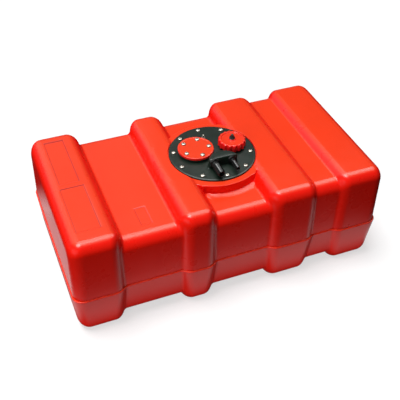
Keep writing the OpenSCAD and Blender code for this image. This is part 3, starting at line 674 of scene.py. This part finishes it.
# Plate screws: ten stainless screws with domed heads and a cross recess, driven through the plate
# into the inserts.
SCREW_R, SCREW_HEAD_R, SCREW_HEAD_H, SCREW_RIM_H = 2.5, 4.75, 2.8, 0.5
SCREW_POINTS, RECESS_W, RECESS_REACH, RECESS_DEPTH = 64, 1.2, 2.6, 1.4
PLATE_SCREWS, PLATE_SCREW_CIRCLE, PLATE_SCREW_L = 10, 78.0, 12.0


def screw(shank):
    """A screw standing on its head's underside: a dome whose height falls as the square root of one
    less a power of the share of its radius, a cross sunk in it, a thin rim, a shank and a blunt
    tip."""
    power, side_slope, end_slope, tip_l = 2.4, 0.3, 0.9, 1.0
    angle = once_round(SCREW_POINTS)
    share = np.sin(np.linspace(0.0, math.pi / 2.0, 26))[:, None]
    round_h = np.sqrt(np.clip(1.0 - share ** power, 0.0, 1.0))
    dome = SCREW_RIM_H + (SCREW_HEAD_H - SCREW_RIM_H) * round_h
    across = SCREW_HEAD_R * share * np.cos(angle)
    along = SCREW_HEAD_R * share * np.sin(angle)

    def arm(side, length):
        wide = np.clip((RECESS_W / 2.0 + side_slope / 2.0 - np.abs(side)) / side_slope, 0.0, 1.0)
        return wide * np.clip((RECESS_REACH - np.abs(length)) / end_slope, 0.0, 1.0)

    height = dome - RECESS_DEPTH * np.maximum(arm(across, along), arm(along, across))
    below = rounded((
        (SCREW_HEAD_R, SCREW_RIM_H), (SCREW_HEAD_R, 0.0, 0.2), (SCREW_R, 0.0),
        (SCREW_R, -shank, 0.6), (0.0, -shank - tip_l)))
    head = np.stack((across, along, height), axis=-1)
    return np.vstack((head, turned(below, SCREW_POINTS)[1:]))


def ring_of(grid, count, radius, first_angle, centre, twist=0.65):
    """Copies of a grid evenly spaced on a circle, each turned a further twist about itself."""
    copies = []
    for i in range(count):
        angle, turn = math.radians(first_angle + 360.0 * i / count), twist * i
        spin = np.array((
            (math.cos(turn), math.sin(turn), 0.0), (-math.sin(turn), math.cos(turn), 0.0),
            (0.0, 0.0, 1.0)))
        place = np.array(centre) + (radius * math.cos(angle), radius * math.sin(angle), 0.0)
        copies.append(grid @ spin + place)
    return copies


screw_steel = turned_metal("screw_steel", (0.40, 0.38, 0.33), (0.24, 0.23, 0.20), 0.24, 0.9)
plate_screw_ring = ring_of(
    screw(PLATE_SCREW_L), PLATE_SCREWS, PLATE_SCREW_CIRCLE, 90.0, (PLATE_X, PLATE_Y, PLATE_TOP))
plate_screws = piece(
    "domed_plate_screws", *joined(*plate_screw_ring), screw_steel, slot="stainless")
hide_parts("plate_screws")


# Gauge cover: a red blanking disc over the gauge opening, on a rubber gasket, held by five screws
# in brass inserts.
COVER_BOTTOM, COVER_TOP, COVER_R = SEAT_TOP + 1.0, SEAT_TOP + 6.0, 36.5
# The face inside the cover's raised rim, and the foot and crest of that rim
COVER_FACE, COVER_FACE_R, COVER_RIM_R = COVER_TOP - 0.3, 32.6, 33.4
COVER_SCREWS, COVER_SCREW_CIRCLE, COVER_SCREW_L = 5, 27.0, 8.0
# Painted light: orange where the faces look up, deeper red on the sides
cover_red = moulded("cover_red", (0.88, 0.052, 0.012), (0.86, 0.012, 0.008), 0.30)
cover_rim = rounded((
    (0.0, COVER_FACE), (COVER_SCREW_CIRCLE, COVER_FACE), (COVER_FACE_R, COVER_FACE, 0.8),
    (COVER_RIM_R, COVER_TOP, 0.5), (COVER_R, COVER_TOP, 1.5), (COVER_R, COVER_BOTTOM, 0.5),
    (0.0, COVER_BOTTOM)))
gauge_cover = piece(
    "gauge_blank", *joined(turned(cover_rim) + (SEAT_X, SEAT_Y, 0.0)), cover_red,
    slot="red_cover")
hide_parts("gauge_cover")
cover_screw_ring = ring_of(
    screw(COVER_SCREW_L), COVER_SCREWS, COVER_SCREW_CIRCLE, 63.0, (SEAT_X, SEAT_Y, COVER_FACE))
cover_screws = piece(
    "domed_cover_screws", *joined(*cover_screw_ring), screw_steel, slot="stainless")
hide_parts("cover_screws")
dressed("cover_inserts", insert_brass)
dressed("cover_gasket", gasket_rubber)


# Hose tails: glossy black nylon tails for the vent hose and the feed hose, each screwed into the
# housing's face with its six-sided collar against a rubber seal. Barbs hold the hose.
TAIL_Z, SHANK_END = PLATE_TOP + 12.0, -7.0 - FACE_Y
NUT_BACK, NUT_FRONT = 1.0 - FACE_Y, 5.0 - FACE_Y
BARBS, BARB_SHARE, PLAIN_L, PLAIN_UNDER = 5, 0.22, 8.0, 0.15
# How far under a barb's edge and ahead of the barb's end the points of the edge lie
BARB_EDGE = ((0.15, 0.9), (0.0, 0.5), (0.1, 0.1))
# How far outside a tail's bore its shank, its collar's hole and its seal's hole lie
SHANK_OUT, COLLAR_OUT, SEAL_OUT = 1.3, 1.0, 1.4
VENT_TAIL = dict(x=PLATE_X - 15.0, hose_r=8.0, bore_r=5.0, length=34.0, flats=19.0)
FEED_TAIL = dict(x=PLATE_X + 22.0, hose_r=5.0, bore_r=3.0, length=29.0, flats=14.0)


def tail_profile(hose_r, bore_r, length):
    """Half section of a hose tail over the distance in front: bore, tip, barbs that rise away from
    the tip and drop at once, a plain length, and the shank behind the collar."""
    tip, barb_l, barb_h = NUT_FRONT + length, (length - PLAIN_L) / BARBS, BARB_SHARE * hose_r
    plain_r, shank_r, inside = hose_r - PLAIN_UNDER, bore_r + SHANK_OUT, NUT_FRONT + 5.0
    barbs = []
    for i in range(BARBS):
        begin, end = tip - i * barb_l, tip - (i + 1) * barb_l
        barbs.append((hose_r - barb_h, begin - 0.05))
        barbs.extend((hose_r - under, end + ahead) for under, ahead in BARB_EDGE)
    barbs[0] = (hose_r - barb_h, tip, 0.8)
    return rounded((
        (bore_r, inside), (bore_r, tip, 0.5), *barbs,
        (plain_r, NUT_FRONT + PLAIN_L - 0.4), (plain_r, NUT_FRONT + 0.6),
        (hose_r + 0.6, NUT_FRONT - 0.1), (shank_r, NUT_FRONT - 2.0),
        (shank_r, SHANK_END), (bore_r, SHANK_END), (bore_r, inside)))


def six_sided(flats, bore_r, back, front, bevel=0.7, count=96):
    """A six-sided collar. Away from a flat's middle its radius is half the width over flats, over
    the cosine of the angle. Both ends are bevelled outside a circle that is a little smaller than
    the flats, so that the corners are cut as arcs."""
    face_share, bevel_share = 0.48, 0.1
    angle = once_round(count)
    from_flat = (angle + math.pi / 6.0) % (math.pi / 3.0) - math.pi / 6.0
    side = flats / 2.0 / np.cos(from_flat)
    ring = np.ones_like(side)
    bore, face = bore_r * ring, face_share * flats * ring
    slope = bevel * (side - face) / (bevel_share * flats)
    middle = 0.5 * (back + front)
    radius = np.vstack((bore, bore, face, side, side, face, bore, bore))
    height = np.vstack((
        middle * ring, front * ring, front * ring, front - slope, back + slope, back * ring,
        back * ring, middle * ring))
    return np.stack((radius * np.cos(angle), radius * np.sin(angle), height), axis=-1)


def flat_ring(bore_r, outer_r, bottom, top, inner_edge, top_edge, bottom_edge, count=96):
    """A turned flat ring with round edges, whose section is closed half way up the hole."""
    middle = 0.5 * (bottom + top)
    section = rounded((
        (bore_r, middle), (bore_r, top, inner_edge), (outer_r, top, top_edge),
        (outer_r, bottom, bottom_edge), (bore_r, bottom, inner_edge), (bore_r, middle)))
    return turned(section, count)


def facing_front(grid, x):
    """Lays a piece that was made upright along the housing's outward way, with its axis at x."""
    return np.stack((x + grid[..., 0], -grid[..., 2], TAIL_Z + grid[..., 1]), axis=-1)


tail_nylon = black_moulding("tail_nylon", grey(0.006), grey(0.012), 0.12, 0.00003, 0.2)
for name, tail in (("vent_tail", VENT_TAIL), ("feed_tail", FEED_TAIL)):
    at_x, bore_r, flats = tail["x"], tail["bore_r"], tail["flats"]
    barbed = turned(tail_profile(tail["hose_r"], bore_r, tail["length"]))
    collar = six_sided(flats, bore_r + COLLAR_OUT, NUT_BACK, NUT_FRONT)
    made = piece(
        name + "_barbed", *joined(facing_front(barbed, at_x), facing_front(collar, at_x)),
        tail_nylon, slot="black_tail", smooth_angle=30.0)
    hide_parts(name)
    seal = flat_ring(bore_r + SEAL_OUT, flats / 2.0, -FACE_Y, NUT_BACK, 0.2, 0.4, 0.4)
    made = piece(
        name + "_ring", *joined(facing_front(seal, at_x)), gasket_rubber, slot="gasket",
        smooth_angle=60.0)
    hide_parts(name + "_seal")


# Pick-up: an aluminium tube from the feed's passage down to a brass gauze strainer near the
# bottom. Both are inside the tank, and stay as the solids have them.
tube_aluminium = turned_metal("tube_aluminium", (0.80, 0.81, 0.83), (0.62, 0.63, 0.66), 0.30, 1.0)
strainer_brass = finish(
    "strainer_brass",
    lambda place: place.noise(900.0, 2.0).span(0.42, 0.58).blend(
        (0.20, 0.13, 0.04), (0.74, 0.54, 0.22)),
    lambda place: place.noise(500.0, 2.0) * 0.2 + 0.3,
    lambda place: place.noise(900.0, 2.0), 0.0003, metallic=1.0)
dressed("pickup_tube", tube_aluminium)
dressed("strainer", strainer_brass)


# Filler cap: a fluted red cap that screws down on the neck, with a rubber ring in its ceiling. Its
# top is sunk inside a raised rim, round a small pad for the vent screw.
CAP_BOTTOM, CAP_TOP, CAP_R, CAP_BORE_R = PLATE_TOP + 4.0, PLATE_TOP + 18.0, 29.0, 22.3
CAP_CEILING, CAP_EDGE_R = CAP_TOP - 3.5, 2.8
# How far the cap's side leans in at its top and part of the way down
CAP_LEAN, CAP_LEAN_LOW, CAP_LEAN_Z = 1.3, 0.6, CAP_TOP - 7.0
FLUTES, FLUTE_POINTS, FLUTE_DEPTH, FLUTE_FROM, FLUTE_POWER = 16, 16, 2.6, 22.5, 1.2
VENT_HOLE_R, VENT_HOLE_Z, VENT_PAD_R = 3.2, CAP_TOP - 2.0, 7.5
SUNK_R, SUNK_Z = 21.5, CAP_TOP - 1.5


def cap_skin():
    """The cap as rings round its axis. Outside the bore a ring is drawn in by the flutes: their
    depth times a power of the raised cosine of sixteen times the angle, and less towards the rim's
    inner edge."""
    profile = rounded((
        (VENT_HOLE_R, VENT_HOLE_Z), (VENT_HOLE_R, CAP_TOP, 0.3), (VENT_PAD_R, CAP_TOP, 0.5),
        (VENT_PAD_R + 0.4, SUNK_Z, 0.5), (SUNK_R, SUNK_Z, 0.6), (SUNK_R + 0.5, CAP_TOP, 0.5),
        (SUNK_R + 2.5, CAP_TOP), (CAP_R - CAP_LEAN, CAP_TOP, CAP_EDGE_R),
        (CAP_R - CAP_LEAN_LOW, CAP_LEAN_Z), (CAP_R, CAP_BOTTOM, 0.8),
        (CAP_BORE_R + 2.7, CAP_BOTTOM), (CAP_BORE_R, CAP_BOTTOM, 0.5),
        (CAP_BORE_R, CAP_CEILING, 0.5), (VENT_HOLE_R, CAP_CEILING),
        (VENT_HOLE_R, VENT_HOLE_Z)))
    grid = turned(profile, FLUTES * FLUTE_POINTS)
    flute = (0.5 + 0.5 * np.cos(FLUTES * once_round(FLUTES * FLUTE_POINTS))) ** FLUTE_POWER
    outside = np.clip((profile[:, :1] - FLUTE_FROM) / (CAP_R - FLUTE_FROM), 0.0, 1.0)
    grid[..., :2] *= (1.0 - FLUTE_DEPTH * flute * outside / profile[:, :1])[..., None]
    return grid


# Painted light: orange where the faces look up, and a brighter red on the shaded side
cap_red = moulded("cap_red", (0.86, 0.042, 0.012), (0.95, 0.010, 0.009), 0.27)
fluted_cap = piece(
    "fluted_cap", *joined(cap_skin() + (NECK_X, NECK_Y, 0.0)), cap_red, body="cap",
    slot="red_cap")
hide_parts("screw_cap")
dressed("cap_gasket", gasket_rubber)


# Vent screw: a small black tapered knob in the middle of the cap, with a rubber ring under it. It
# is slackened to let air in while the engine draws fuel.
KNOB_BOTTOM, KNOB_TOP, KNOB_R, KNOB_TIP_R = CAP_TOP + 1.0, CAP_TOP + 10.0, 6.0, 2.4
TAPER_TOP, TAPER_L, TAPER_TOP_R, TAPER_POWER = KNOB_TOP - 1.5, 6.7, KNOB_TIP_R + 0.2, 1.25
GRIPS, GRIP_POINTS, GRIP_SHARE = 6, 20, 0.10
GRIP_BOTTOM, GRIP_TOP = KNOB_BOTTOM + 0.9, KNOB_TOP - 1.2
STEM_R, STEM_END = 3.0, CAP_TOP - 4.5
share = np.linspace(0.0, 1.0, 14)[1:-1]
taper_r = TAPER_TOP_R + (KNOB_R - KNOB_TIP_R - 0.3) * share ** TAPER_POWER
knob_line = np.vstack((
    rounded(((0.0, KNOB_TOP), (KNOB_TIP_R - 0.2, KNOB_TOP, 0.7), (TAPER_TOP_R, TAPER_TOP))),
    np.column_stack((taper_r, TAPER_TOP - TAPER_L * share)),
    rounded((
        (KNOB_R, KNOB_BOTTOM + 0.8), (KNOB_R, KNOB_BOTTOM, 0.3), (STEM_R, KNOB_BOTTOM),
        (STEM_R, STEM_END, 0.5), (0.0, STEM_END)))))
knob_grip = turned(knob_line, GRIPS * GRIP_POINTS)
angle = once_round(GRIPS * GRIP_POINTS)
gripped = (knob_grip[..., 2] > GRIP_BOTTOM) & (knob_grip[..., 2] < GRIP_TOP)
knob_grip[..., :2] *= (1.0 - GRIP_SHARE * np.cos(GRIPS * angle) ** 2 * gripped)[..., None]
knob_black = black_moulding("knob_black", grey(0.008), grey(0.018), 0.30, 0.00006)
vent_knob = piece(
    "vent_knob", *joined(knob_grip + (NECK_X, NECK_Y, 0.0)), knob_black, body="vent",
    slot="black_knob")
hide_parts("vent_screw")
vent_washer = flat_ring(VENT_HOLE_R, KNOB_R, CAP_TOP, KNOB_BOTTOM, 0.2, 0.45, 0.45)
vent_ring = piece(
    "vent_ring", *joined(vent_washer + (NECK_X, NECK_Y, 0.0)), gasket_rubber, body="vent_washer",
    slot="gasket", smooth_angle=60.0)
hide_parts("vent_seal")


# Earth point: a threaded stainless stud in the plate behind the gauge cover, with a washer and a
# nut, for the wire that bonds the metal fittings.
STUD_X, STUD_Y, STUD_R, STUD_TOP = PLATE_X, PLATE_Y + 48.0, 2.0, PLATE_TOP + 10.0
STUD_THREAD_H, STUD_PITCH = 0.28, 0.7
WASHER_R, WASHER_TOP, STUD_NUT_W, STUD_NUT_H = 4.5, PLATE_TOP + 0.8, 7.0, 3.2
thread_z = np.linspace(STUD_TOP - STUD_PITCH, PLATE_TOP + 0.1, 140)
thread_r = STUD_R - STUD_THREAD_H * (0.5 + 0.5 * np.cos(2.0 * math.pi * thread_z / STUD_PITCH))
stud_line = np.vstack((
    [(0.0, STUD_TOP), (STUD_R - 0.5, STUD_TOP)], np.column_stack((thread_r, thread_z)),
    [(STUD_R, PLATE_TOP), (STUD_R, PLATE_BOTTOM), (0.0, PLATE_BOTTOM)]))
stud_place = (STUD_X, STUD_Y, 0.0)
earth_stud = piece(
    "earth_stud_threaded", *joined(turned(stud_line, 40) + stud_place), screw_steel,
    slot="stainless", smooth_angle=None)
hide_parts("earth_stud")
washer = flat_ring(STUD_R + 0.15, WASHER_R, PLATE_TOP, WASHER_TOP, 0.1, 0.25, 0.1, 64)
earth_washer = piece(
    "earth_washer_pressed", *joined(washer + stud_place), screw_steel, slot="stainless")
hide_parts("earth_washer")
nut = six_sided(STUD_NUT_W, STUD_R + 0.05, WASHER_TOP, WASHER_TOP + STUD_NUT_H, 0.5)
earth_nut = piece(
    "earth_nut_bevelled", *joined(nut + stud_place), screw_steel, slot="stainless",
    smooth_angle=25.0)
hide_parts("earth_nut")


# Studio: a white floor, soft lamps round the tank, and the camera where the photographer stood. To
# the camera the floor is white with a soft shadow; to the tank it is a painted glow, bright only
# close by, which lights the tank and shows in its gloss.
FLOOR_REACH, FLOOR_GLOW = 8.0, 0.6
# How far from the tank the floor's painted glow is brightest, and where it has faded
BRIGHT_AT, FADED_AT = 0.03, 0.13
floor_mesh = bpy.data.meshes.new("floor")
floor_corners = FLOOR_REACH * np.array(((-1, -1, 0), (1, -1, 0), (1, 1, 0), (-1, 1, 0)))
floor_mesh.from_pydata(floor_corners.tolist(), [], [(0, 1, 2, 3)])
floor = linked("floor", floor_mesh)
floor_white = bpy.data.materials.new("floor_white")
floor_white.cycles.emission_sampling = "NONE"
start = bare_tree(floor_white)
seen = start.make("ShaderNodeLightPath", output="Is Camera Ray")
place = start.make("ShaderNodeTexCoord", output="Object")
off_x, off_y = (
    start.maths("MAXIMUM", start.maths("ABSOLUTE", place.part(axis)) - half * MM, 0.0)
    for axis, half in (("X", RIB_EDGES[-1][1]), ("Y", HALF_WIDTH)))
clear = start.maths("POWER", off_x * off_x + off_y * off_y, 0.5)
faded = clear.span(BRIGHT_AT, FADED_AT).blend(grey(1.0), grey(0.01))
# Painted light: to rays other than the camera's the floor glows, bright only close to the tank
floor_bounce = start.make("ShaderNodeEmission", None, {
    "Color": clear.span(0.0, BRIGHT_AT).blend(grey(0.03), faded)})
floor_seen = start.make("ShaderNodeBsdfDiffuse", None, {"Color": grey(0.97)})
floor_glow = start.make("ShaderNodeEmission", None, {"Color": grey(1.0)})
floor_shown = start.make("ShaderNodeMixShader", None, {0: FLOOR_GLOW, 1: floor_seen, 2: floor_glow})
floor_look = start.make("ShaderNodeMixShader", None, {0: seen, 1: floor_bounce, 2: floor_shown})
start.make("ShaderNodeOutputMaterial", None, {"Surface": floor_look})
floor_mesh.materials.append(floor_white)


def lamp(name, place, target, size, power, on_matt=True, on_gloss=True):
    """A rectangular soft light at a place, turned to a target. It can be kept out of the matt or of
    the glossy part of what it lights."""
    light = bpy.data.lights.new(name, "AREA")
    light.shape, light.size, light.size_y, light.energy = "RECTANGLE", *size, power
    made = linked(name, light)
    made.location = place
    made.rotation_euler = (Vector(target) - Vector(place)).to_track_quat("-Z", "Y").to_euler()
    made.visible_diffuse, made.visible_glossy = on_matt, on_gloss


lamp("left_fill", (-2.4, -0.9, 0.9), (0.0, 0.0, 0.1), (2.0, 1.4), 8.0)
lamp("front_fill", (-1.9, -1.5, 1.1), (0.0, 0.0, 0.1), (0.8, 0.8), 15.0, on_gloss=False)
lamp("softbox", (0.6, 0.38, 1.81), (0.6, -0.35, 0.2), (2.4, 1.06), 52.0, on_matt=False)
lamp("rear_sheen", (-0.87, 1.38, 1.36), (0.0, 0.0, 0.2), (1.2, 1.2), 6.0, on_matt=False)
lamp("top_sheen", (0.0, 1.4, 1.48), (0.0, 0.0, 0.22), (0.75, 1.2), 1.0, on_matt=False)
sun = bpy.data.lights.new("overhead", "SUN")
sun.energy, sun.angle = 3.15, math.radians(26.0)
overhead = linked("overhead", sun)
overhead.rotation_euler = (math.radians(-5.0), math.radians(-11.0), 0.0)

world = bpy.data.worlds.new("studio")
bpy.context.scene.world = world
start = bare_tree(world)
seen, glossy, passed = (
    start.make("ShaderNodeLightPath", output=ray)
    for ray in ("Is Camera Ray", "Is Glossy Ray", "Is Transmission Ray"))
mirrored = start.maths("MAXIMUM", glossy, passed)
heading = start.make("ShaderNodeTexCoord", output="Generated")
behind = (heading.part("Y") - heading.part("X") * 1.2).span(0.0, 0.6)
backdrop = behind.blend(grey(0.03), grey(0.28))
sky = start.make("ShaderNodeBackground", None, {
    "Color": seen.blend(mirrored.blend(grey(0.11), backdrop), grey(1.0))})
start.make("ShaderNodeOutputWorld", None, {"Surface": sky})

CAMERA_PLACE = (-0.4381, -1.0391, 1.1110)
AZIMUTH, ELEVATION, ROLL = math.radians(-22.59), math.radians(41.81), math.radians(1.35)
FOCAL_PIXELS, PICTURE_PIXELS, SENSOR = 709.48, 400.0, 36.0
camera_data = bpy.data.cameras.new("camera")
camera = linked("camera", camera_data)
ahead = np.array((
    -math.sin(AZIMUTH) * math.cos(ELEVATION), math.cos(AZIMUTH) * math.cos(ELEVATION),
    -math.sin(ELEVATION)))
level = np.cross(ahead, (0.0, 0.0, 1.0))
level /= np.linalg.norm(level)
upright = np.cross(level, ahead)
right = math.cos(ROLL) * level + math.sin(ROLL) * upright
up = -math.sin(ROLL) * level + math.cos(ROLL) * upright
placed = np.column_stack((right, up, -ahead, CAMERA_PLACE))
camera.matrix_world = Matrix(np.vstack((placed, (0.0, 0.0, 0.0, 1.0))).tolist())
camera_data.sensor_width = SENSOR
camera_data.lens = FOCAL_PIXELS / PICTURE_PIXELS * SENSOR
bpy.context.scene.camera = camera
bpy.context.scene.view_settings.view_transform = "Standard"
